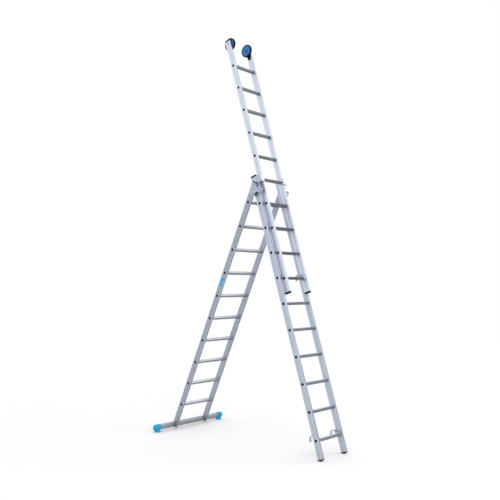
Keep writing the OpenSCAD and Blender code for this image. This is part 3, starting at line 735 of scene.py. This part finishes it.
# Name, section width, stile's end, height, lip, axes, body, and the plain solid it stands for.
CAPS = [
    ("lower_caps", LOWER_WIDTH, LOWER_HEAD, 8 * MM, 0.6 * MM, LOWER, "lower_section", "lower_top_caps"),
    ("middle_caps", MIDDLE_WIDTH, MIDDLE_HEAD, 20 * MM, 0.8 * MM, MIDDLE, "middle_section",
     "middle_top_caps"),
    ("top_caps", TOP_WIDTH, TOP_HEAD, 20 * MM, 0.8 * MM, TOP, "top_section", "top_end_caps"),
    ("tail_caps", TOP_WIDTH, TOP_TAIL, -20 * MM, 1.5 * MM, TOP, "top_section", "top_tail_caps"),
]
for name, width, end, height, lip, axes, body, stands_for in CAPS:
    piece(name, stile_cap(width, end, height, lip), axes, body,
          [stands_for], BLACK_PLASTIC)
print("caps:", [cap[0] for cap in CAPS])

# %% [markdown]
# ## Guides
# A guide is sheet metal: a cheek riveted to the stile, bent round in front of the next section so
# that the section can slide but can't fall forward. Folding a flat strip along a path gives the true
# bend radius, which two plates meeting at a corner wouldn't.

# %% Guides


def bent_path(x, y_back, y_front, x_tip, radius, steps=9):
    """Back to front along a cheek, a quarter circle of the given radius, then inwards along the lip."""
    turn = np.linspace(0, np.pi / 2, steps)
    centre_x, centre_y = x - radius, y_front + radius
    corner = np.column_stack([centre_x + radius * np.cos(turn), centre_y - radius * np.sin(turn)])
    cheek = np.column_stack([np.full(24, x), np.linspace(y_back, centre_y, 24, endpoint=False)])
    lip = np.column_stack([np.linspace(centre_x, x_tip, 12)[1:], np.full(11, y_front)])
    return np.vstack([cheek, corner, lip])


def rounded_ends(path, low, high, radius):
    """Heights that draw in along a quarter circle within one radius of either end of the path."""
    run = np.concatenate([[0], np.cumsum(np.linalg.norm(np.diff(path, axis=0), axis=1))])
    near = np.clip(np.minimum(run, run[-1] - run) / radius, 0, 1)
    inset = radius * (1 - np.sqrt(1 - (1 - near) ** 2))
    return low + inset, high - inset


def guide(x_face, y_lip, x_tip, low, lip_low, high, thick=PLATE):
    """The cheek's lower edge rises from low to lip_low between 47 and 62 mm in front of the stile."""
    path = bent_path(x_face + thick / 2, 20 * MM, -y_lip - thick / 2, x_tip, 5 * MM)
    step = np.clip((-47 * MM - path[:, 1]) / (15 * MM), 0, 1)
    rise = lip_low + (low - lip_low) * (1 + np.cos(np.pi * step)) / 2
    z_low, z_high = rounded_ends(path, rise, high, 8 * MM)
    return strip(path, z_low, z_high, thick)


LIP_OVERLAP = 15 * MM
lower_guide = guide(x_face=LOWER_WIDTH / 2, y_lip=100 * MM, x_tip=MIDDLE_WIDTH / 2 - LIP_OVERLAP,
                    low=84 * MM, lip_low=147 * MM, high=199 * MM)
middle_guide = guide(x_face=MIDDLE_WIDTH / 2, y_lip=98.5 * MM, x_tip=TOP_WIDTH / 2 - LIP_OVERLAP,
                     low=222 * MM, lip_low=222 * MM, high=300 * MM)
for side, turn_over in SIDES:
    piece("lower_guide_bent_" + side, turn_over(lower_guide), LOWER, "lower_section",
          ["lower_guide_" + side], GREY_STEEL)
    piece("middle_guide_bent_" + side, turn_over(middle_guide), MIDDLE, "middle_section",
          ["middle_guide_" + side], MIDDLE_ALUMINIUM)
print("guides bent")

# %% [markdown]
# ## Rivets
# Blind rivets hold the guides, and a single one on each stile stops a section from running out too
# far. Each is a low dome.

# %% Rivets
RIVET = dome(5 * MM, 2 * MM)


def rivet_set(x, spots):
    """A dome at each (y, z), on both stiles."""
    return both(joined(*[moved(RIVET, x, y, z) for y, z in spots]))


STOP_HEIGHT, LOWER_RIVET, MIDDLE_RIVET = -7 * RUNG_PITCH + 65 * MM, 140 * MM, 261 * MM
RIVET_APART = 15 * MM
# Name, face that the dome stands on, (y, z) of each dome, axes, body, and the plain solid.
RIVETS = [
    ("lower_rivets", LOWER_WIDTH / 2 + PLATE, [(-RIVET_APART, LOWER_RIVET), (RIVET_APART, LOWER_RIVET)],
     LOWER, "lower_section", "lower_guide_rivets"),
    ("middle_rivets", MIDDLE_WIDTH / 2 + PLATE, [(-RIVET_APART, MIDDLE_RIVET), (RIVET_APART, MIDDLE_RIVET)],
     MIDDLE, "middle_section", "middle_guide_rivets"),
    ("middle_stops", MIDDLE_WIDTH / 2, [(0.0, STOP_HEIGHT)], MIDDLE, "middle_section", "middle_stop_rivets"),
    ("top_stops", TOP_WIDTH / 2, [(0.0, STOP_HEIGHT)], TOP, "top_section", "top_stop_rivets"),
]
for name, x, spots, axes, body, stands_for in RIVETS:
    piece(name, rivet_set(x, spots), axes, body, [stands_for], ZINC)
print("rivets:", sum(2 * len(rivet[2]) for rivet in RIVETS))

# %% [markdown]
# ## Hooks
# At the foot of each sliding section a forged hook sits on the lowest rung and hangs over a rung of
# the section behind. It is a ring plate round its own rung and a crook, swept with soft edges.

# %% Hooks
CROOK_INNER, CROOK_OUTER, PLATE_FRONT = 25.63 * MM, 38.63 * MM, 23 * MM


def sweep(path, widths, thick, edge, count=28):
    """A rounded bar in the y-z plane: its width lies across the path and its thickness along x."""
    along = unit_steps(path)
    across = np.column_stack([along[:, 1], -along[:, 0]])
    loops = []
    for point, normal, width in zip(path, across, widths):
        flat = rounded_loop(thick, width, min(edge, width * 0.45), count)
        place = point + flat[:, 1:] * normal
        loops.append(np.column_stack([flat[:, 0], place]))
    return loft(np.array(loops))


def crook(thick):
    """Up one leg, over a half circle about the next section's rung, and down to a tapered tip."""
    middle = (CROOK_INNER + CROOK_OUTER) / 2
    turn = np.linspace(np.pi, 0, 25)
    arc = np.column_stack([SECTION_GAP + middle * np.cos(turn), HOOK_DROP + middle * np.sin(turn)])
    leg = np.column_stack([np.full(5, arc[0, 0]), np.linspace(-4 * MM, HOOK_DROP, 5, endpoint=False)])
    tip = np.column_stack([np.full(6, arc[-1, 0]), np.linspace(HOOK_DROP, -2 * MM, 7)[1:]])
    path = np.vstack([leg, arc, tip])
    widths = np.full(len(path), CROOK_OUTER - CROOK_INNER)
    widths[-4:] = np.array([12.0, 10.0, 7.0, 3.0]) * MM
    return sweep(path, widths, thick, 2.2 * MM)


def rung_plate(thick, width=50 * MM, height=54 * MM, bevel=1.6 * MM, count=64):
    """A plate with a square window: outer loops drawn in at both faces, then the window's two loops.

    The front is cut flat at y = -PLATE_FRONT, short of the stile that slides past it.
    """
    cos, sin = math.cos(RUNG_TILT), math.sin(RUNG_TILT)
    tilt = np.array([[cos, sin], [-sin, cos]])
    half = thick / 2
    rows = []
    for x, inset in ((-half, bevel), (bevel - half, 0.0), (half - bevel, 0.0), (half, bevel)):
        loop = rounded_loop(width - 2 * inset, height - 2 * inset, 10 * MM, count) @ tilt
        loop[:, 0] = np.maximum(loop[:, 0], inset - PLATE_FRONT)
        rows.append(at_x(x, loop))
    window = rounded_loop(RUNG_SIDE + 0.1 * MM, RUNG_SIDE + 0.1 * MM, 5 * MM, count) @ tilt
    return ring(np.array(rows + [at_x(half, window), at_x(-half, window)]))


def hook(section_width, thick=22 * MM):
    """Crook and plate together, 1 mm inside the stile's inner face and about the lowest rung."""
    x = section_width / 2 - STILE_THICK - 1 * MM - thick / 2
    return moved(joined(crook(thick), rung_plate(thick)), x=x, z=LOWEST_RUNG)


for level, width, axes in (("middle", MIDDLE_WIDTH, MIDDLE), ("top", TOP_WIDTH, TOP)):
    for side, turn_over in SIDES:
        piece(level + "_hook_forged_" + side, turn_over(hook(width)), axes, level + "_section",
              [level + "_hook_" + side], GREY_STEEL)
print("four hooks forged")

# %% [markdown]
# ## Hinge shoes
# The middle section slides through a folded steel shoe, and the shoe turns on the hinge pin, so that
# one joint lets the ladder both fold and extend. It is a strip folded round the stile, with a round
# ear for the pin.

# %% Hinge shoes


def shoe_path(x_back=218 * MM, x_tip=198 * MM, half=36.8 * MM, radius=4 * MM):
    """Flange, quarter circle, back, quarter circle, flange: a U open towards the rungs."""
    turn = np.linspace(0, np.pi / 2, 7)
    first = np.column_stack([np.linspace(x_tip, x_back - radius, 8, endpoint=False), np.full(8, half)])
    arc = np.column_stack([np.sin(turn), np.cos(turn)])
    corner = np.array([x_back - radius, half - radius]) + radius * arc
    back = np.column_stack([np.full(12, x_back), np.linspace(half - radius, 0, 13)[1:]])
    upper = np.vstack([first, corner, back])
    return np.vstack([upper, (upper[:-1] * [1, -1])[::-1]])


def hinge_shoe(height=76 * MM, thick=PLATE):
    """The folded strip, and a chamfered disc with a hole for the pin in the plane of its back."""
    path = shoe_path()
    level = np.full(len(path), PIN_UP_MIDDLE)
    low, high = rounded_ends(path, level - height / 2, level + height / 2, 7 * MM)
    folded = strip(path[::-1], low, high, thick)
    half = np.array([(4.05, 216.5), (14.2, 216.5), (15, 217.3)])
    ear = lathe(np.vstack([half, (half * [1, -1] + [0, 2 * 218])[::-1]]) * MM, 40)
    return joined(folded, moved(ear, y=SECTION_GAP - PIN_FORE_LOWER, z=PIN_UP_MIDDLE))


for side, turn_over in SIDES:
    piece("hinge_shoe_folded_" + side, turn_over(hinge_shoe()), MIDDLE, "hinge_shoes",
          ["hinge_shoe_" + side], GREY_STEEL)
print("hinge shoes folded")

# %% [markdown]
# ## Nuts and bolt heads
# A hexagon's corners are turned off at both faces. That chamfer is what makes a nut read as a nut,
# so the radius at each face is cut down to the circle that just touches the flats.

# %% Nuts and bolt heads


def hexagon(across, cut, turns=48):
    """Radius against angle: half the width across flats over cos of the angle from the flat's middle."""
    angle = np.arange(turns) * 2 * np.pi / turns
    off_flat = (angle + np.pi / 6) % (np.pi / 3) - np.pi / 6
    return circle(np.minimum(across / 2 / np.cos(off_flat), cut), turns)


def hex_rows(across, x0, x1, chamfer=0.7 * MM):
    """Hexagons from x0 to x1, the first and the last cut down to a circle just past the flats."""
    face = across / 2 * 1.03
    stations = ((x0, face), (x0 + chamfer, across), (x1 - chamfer, across), (x1, face))
    return [at_x(x, hexagon(across, cut)) for x, cut in stations]


def circle_row(radius, x, turns=48):
    """A circle about the x axis, at one x."""
    return at_x(x, circle(radius, turns))


def nut(across, x0, x1, bore):
    """A chamfered hexagon with a round hole right through."""
    return ring(np.array(hex_rows(across, x0, x1) + [circle_row(bore, x1), circle_row(bore, x0)]))


def washer(radius, x0, x1, bore):
    """A flat disc with a round hole."""
    return lathe([(bore, x0), (radius, x0), (radius, x1), (bore, x1)], 40)


def bolt(across, head_x0, head_x1, shank, shank_end):
    """A head and a shank that runs from it towards lower x, ending in a small chamfer."""
    rows = [circle_row(shank - 0.6 * MM, shank_end), circle_row(shank, shank_end + 0.8 * MM),
            circle_row(shank, head_x0)] + hex_rows(across, head_x0, head_x1)
    return loft(np.array(rows))


def turned_back(shape):
    """Along +x becomes along +y: (x, y) goes to (-y, x)."""
    points, faces = shape
    return points[:, [1, 0, 2]] * [-1, 1, 1], faces


def turned_front(shape):
    """Along +x becomes along -y: (x, y) goes to (y, -x)."""
    points, faces = shape
    return points[:, [1, 0, 2]] * [1, -1, 1], faces


PIN_Y, AXLE_UP, BAR_BOLT_X = SECTION_GAP - PIN_FORE_LOWER, 282 * MM, 240 * MM
HEX, WASHER, SHANK, BORE = 13 * MM, 8.5 * MM, 4 * MM, 4.05 * MM
hinge_nut = joined(nut(HEX, 253.3 * MM, 262.3 * MM, BORE), washer(WASHER, 253.3 * MM, 254.9 * MM, BORE))
piece("hinge_nuts_turned", both(moved(hinge_nut, y=PIN_Y, z=PIN_UP_MIDDLE)), MIDDLE, "hinge_shoes",
      ["hinge_nuts"], ZINC)
bar_bolt = turned_front(bolt(HEX, STILE_DEPTH / 2, 40 * MM, SHANK, -47 * MM))
bar_nut = turned_back(nut(HEX, STILE_DEPTH / 2, 42 * MM, BORE))
for name, shape, stands_for in (("bar_bolts", bar_bolt, "stabiliser_bolts"),
                                ("bar_nuts", bar_nut, "stabiliser_nuts")):
    piece(name, both(moved(shape, x=BAR_BOLT_X, z=BAR_Z)), LOWER, "lower_section",
          [stands_for], ZINC)
# The axle's nuts and bolts take the near-black plate, as painted shade in the hub's middle.
axle_nut = joined(nut(HEX, 119.2 * MM, 126.2 * MM, SHANK), washer(WASHER, 125.6 * MM, 127.2 * MM, SHANK))
piece("axle_nuts_turned", both(moved(axle_nut, z=AXLE_UP)), TOP, "top_section",
      ["axle_nuts"], SHADED_DARK_ZINC)
axle = moved(bolt(HEX, TOP_WIDTH / 2, 185 * MM, SHANK, 113.5 * MM), z=AXLE_UP)
for side, turn_over in SIDES:
    piece("axle_bolt_turned_" + side, turn_over(axle), TOP, "top_section",
          ["axle_bolt_" + side], SHADED_DARK_ZINC)
print("nuts and bolts made")

# %% [markdown]
# ## Wheels
# Two wheels at the top let the ladder roll up a wall. The hub is a moulded dish with a raised ring
# and spokes, and the black tyre is turned with two grooves. Turning a profile about the axle gives
# both.

# %% Wheels
WHEEL_X = 141 * MM


def turned_by(shape, angle):
    """The shape turned about x by an angle."""
    points, faces = shape
    cos, sin = math.cos(angle), math.sin(angle)
    return points @ np.array([[1, 0, 0], [0, cos, sin], [0, -sin, cos]]), faces


def hub():
    """Profile (radius, x): boss, dished web with a raised ring, and rim; then eight spokes a side."""
    half = [(6.05, 13.5), (11.0, 13.5), (12.2, 12.3), (12.8, 6.0), (16.0, 3.6), (34.0, 3.0), (40.0, 3.4),
            (43.0, 6.2), (47.0, 6.8), (50.0, 4.0), (54.0, 4.4), (56.2, 9.6), (58.0, 11.0), (62.2, 11.0),
            (63.0, 10.2)]
    profile = half + [(radius, -x) for radius, x in half[::-1]]
    dish = lathe(np.array(profile)[::-1] * MM, 72)
    web = np.array([[12, 6.5], [42, 4.6], [42, 2.0], [12, 2.0]])[::-1] * MM
    points, faces = outline_plate(web, -1.6 * MM, 1.6 * MM, 0.5 * MM)
    upright = (points[:, [2, 1, 0]] * [1, 1, -1], faces)
    spokes = [turned_by(upright, k * np.pi / 4) for k in range(8)]
    spokes += [(p * [-1, -1, 1], f) for p, f in spokes]
    return joined(dish, *spokes)


def tyre():
    """Profile (radius, x): a crowned tread, x^2 / 40 low at the shoulders, two grooves and flat sides."""
    x = np.linspace(12.4, -12.4, 63)
    crown = 75.0 - (20.0 - np.sqrt(20.0**2 - x**2))
    groove = 1.4 * (np.exp(-((np.abs(x) - 4.5) / 0.8) ** 4))
    tread = np.column_stack([crown - groove, x])
    side = np.array([[crown[0] - 1.2, 13.0], [64.2, 13.0], [63.05, 12.0]])
    profile = np.vstack([side[::-1], tread, side * [1, -1]])
    return lathe(profile[::-1] * MM, 96)


for side, turn_over in SIDES:
    body = "wheel_" + side
    on_axle = {"x": WHEEL_X, "z": AXLE_UP}
    piece("hub_moulded_" + side, turn_over(moved(hub(), **on_axle)), TOP, body,
          ["wheel_hub_" + side], HUB_BLUE)
    piece("tyre_moulded_" + side, turn_over(moved(tyre(), **on_axle)), TOP, body,
          ["wheel_tyre_" + side], BLACK_RUBBER)
print("wheels made")

# %% [markdown]
# ## Wheel brackets
# A black moulded plate sits between each wheel and its stile, and runs down the stile's inner face so
# that the tyre can't rub on bare metal. Its ends are round, and its middle stands a little proud.

# %% Wheel brackets


def bracket(x0=156 * MM, x1=160 * MM, radius=22 * MM, drop=96 * MM):
    """A capsule outline, two half circles a drop apart, with softened faces and a raised middle."""
    turn = np.linspace(0, np.pi, 25)
    top = np.column_stack([radius * np.cos(turn), radius * np.sin(turn)])
    outline = spread(np.vstack([top, -top - [0, drop]]), 120)
    inner = spread(np.vstack([top * 0.8, -top * 0.8 - [0, drop]]), 120)
    return joined(outline_plate(outline, x0 + 1 * MM, x1, 0.8 * MM),
                  outline_plate(inner, x0, x0 + 1.6 * MM, 0.5 * MM))


bracket_shape = moved(bracket(), z=AXLE_UP)
for side, turn_over in SIDES:
    piece("bracket_moulded_" + side, turn_over(bracket_shape), TOP, "top_section",
          ["wheel_bracket_" + side], BLACK_PLASTIC)
print("wheel brackets made")

# %% [markdown]
# ## Label
# A thin film is stuck on the left stile, below the fourth rung. Its corners are rounded so that it
# doesn't peel.

# %% Label
LABEL_WIDE, LABEL_LONG, LABEL_MIDDLE, FILM = 44 * MM, 140 * MM, -953 * MM, 0.4 * MM
outline = rounded_loop(LABEL_WIDE, LABEL_LONG, 5 * MM, 64) + [0, LABEL_MIDDLE]
label = mirrored(outline_plate(outline, LOWER_WIDTH / 2, LOWER_WIDTH / 2 + FILM, 0.15 * MM))
piece("label", label, LOWER, "lower_section", ["label_plate"], LABEL_FILM)
print("finer pieces:", len(made))

# %% [markdown]
# ## Finishes for the pieces that stay as they are
# The stiles, rungs and the stabiliser bar already have their true shape, with every hole in it, so
# they only need their finish. The stiles' lines must follow the lean; those of the rungs and of the
# bar run across. A piece that was swapped above is hidden, and is left alone here.

# %% Finish the frame
CAD_FINISHES = {
    LOWER_ALUMINIUM: ["lower_stile_left", "lower_stile_right"],
    MIDDLE_ALUMINIUM: ["middle_stile_left", "middle_stile_right"],
    TOP_ALUMINIUM: ["top_stile_left", "top_stile_right"],
    LOWER_RUNGS: ["lower_rungs"],
    MIDDLE_RUNGS: ["middle_rungs"],
    TOP_RUNGS: ["top_rungs"],
    BAR_ALUMINIUM: ["stabiliser_bar"],
    ZINC: ["hinge_pins", "axle_spacers", "wheel_bush_left", "wheel_bush_right"],
    GREY_PLASTIC: ["hinge_bushes"],
    BLACK_PLASTIC: ["lower_end_plugs"],
}
for finish, names in CAD_FINISHES.items():
    for name in names:
        nodes[name].data.materials.clear()
        nodes[name].data.materials.append(finish)
print("finished", sum(len(names) for names in CAD_FINISHES.values()), "frame pieces")

# %% [markdown]
# ## Floor, light and camera
# The floor is a pale sheet, painted paler far out as painted light, so that it fades into the white
# backdrop. Most of the light comes from a graded sky, dim below and bright above, because bare metal
# shows whatever surrounds it. Two broad lamps, one at the right and one at the front left, add the
# direction that an even sky lacks.

# %% Floor
FLOOR_NEAR, FLOOR_DULL, FLOOR_FAR_PAINTED_LIGHT = (0.885, 0.86, 0.81), (0.84, 0.815, 0.77), (0.94, 0.925, 0.88)


def stage_floor(half=60.0):
    """A flat square sheet at z = 0 that turns paler between 2 m and 12 m from its middle: painted light."""
    corners = np.array([[-1, -1, 0], [1, -1, 0], [1, 1, 0], [-1, 1, 0]]) * half
    mesh = bpy.data.meshes.new("floor")
    mesh.from_pydata(corners.tolist(), [], [[0, 1, 2, 3]])
    material, tree, shader, raw = start_material("floor_white", FLOOR_NEAR, 0.0, 0.85)
    mottle = noise_node(tree, raw, 3.0, 4.0)
    color = blend_color(tree, scaled(tree, mottle, 0.0, 0.25), FLOOR_NEAR, FLOOR_DULL)
    distance = vector_node(tree, "DISTANCE", raw, (0.0, 0.0, 0.0), "Value")
    # Painted light: the floor turns paler far from the middle.
    color = blend_color(tree, range_node(tree, distance, 2.0, 12.0), color, FLOOR_FAR_PAINTED_LIGHT)
    tree.links.new(color, shader.inputs["Base Color"])
    mesh.materials.append(material)
    floor = bpy.data.objects.new("floor", mesh)
    bpy.context.scene.collection.objects.link(floor)


stage_floor()

# %% Lamps and sky
SKY_SIDE, SKY_LOW, SKY_HIGH = 0.13, -0.20, 0.36


def lamp(name, place, aim, size, power):
    """A square lamp at a place, turned so that its -z axis points at the aim."""
    light = bpy.data.lights.new(name, "AREA")
    light.size, light.energy = size, power
    thing = bpy.data.objects.new(name, light)
    thing.location = place
    direction = Vector(aim) - Vector(place)
    thing.rotation_euler = direction.to_track_quat("-Z", "Y").to_euler()
    bpy.context.scene.collection.objects.link(thing)


middle_height = (cad_box[1][2] + cad_box[0][2]) / 2
lamp("key", (7.5, -6.0, 7.0), (0, 0, middle_height), 5.0, 160)
lamp("front_left", (-5.0, -8.0, 6.5), (0, 0, middle_height), 4.0, 90)


def soft_sky(name, backdrop, dark, bright):
    """Pale to the eye; as light it runs from dark below to bright above, a little earlier at the back left.

    t = z + side (y - x) of the ray's direction, smoothed between two levels, and then dark..bright.
    """
    sky = bpy.data.worlds.new(name)
    sky.use_nodes = True
    tree = sky.node_tree
    background = tree.nodes["Background"]
    ray = add_node(tree, "SeparateXYZ", {0: add_node(tree, "TexCoord", {})["Generated"]})
    side = math_node(tree, "SUBTRACT", ray["Y"], ray["X"])
    total = math_node(tree, "ADD", ray["Z"], math_node(tree, "MULTIPLY", side, SKY_SIDE))
    light = blend_color(tree, range_node(tree, total, SKY_LOW, SKY_HIGH), dark, bright)
    seen = tree.nodes.new("ShaderNodeLightPath").outputs["Is Camera Ray"]
    tree.links.new(blend_color(tree, seen, light, backdrop), background.inputs["Color"])
    return sky


bpy.context.scene.world = soft_sky("soft_sky", (1.0, 1.0, 1.0), (0.15, 0.165, 0.20), (1.10, 1.13, 1.22))
bpy.context.scene.view_settings.view_transform = "Standard"
print("lamps:", [light.name for light in bpy.data.lights])

# %% [markdown]
# The camera stands at the left front corner, at about head height, and looks slightly upwards.
# Its heading is measured from +y towards +x, so it turns by minus that about z.

# %% Camera
CAMERA_AT = (-5.688, -4.935, 1.796)
CAMERA_HEADING, CAMERA_RISE, CAMERA_ROLL = 48.48, 2.30, 0.72
camera_data = bpy.data.cameras.new("camera")
camera_data.lens, camera_data.sensor_width = 48.54, 36.0
camera = bpy.data.objects.new("camera", camera_data)
camera.location = CAMERA_AT
camera.rotation_mode = "XYZ"
turn_home = Matrix.Rotation(-math.radians(CAMERA_HEADING), 4, "Z")
raise_up = Matrix.Rotation(math.radians(90 + CAMERA_RISE), 4, "X")
roll_over = Matrix.Rotation(math.radians(CAMERA_ROLL), 4, "Z")
camera.rotation_euler = (turn_home @ raise_up @ roll_over).to_euler()
bpy.context.scene.collection.objects.link(camera)
bpy.context.scene.camera = camera
print("camera at", CAMERA_AT)
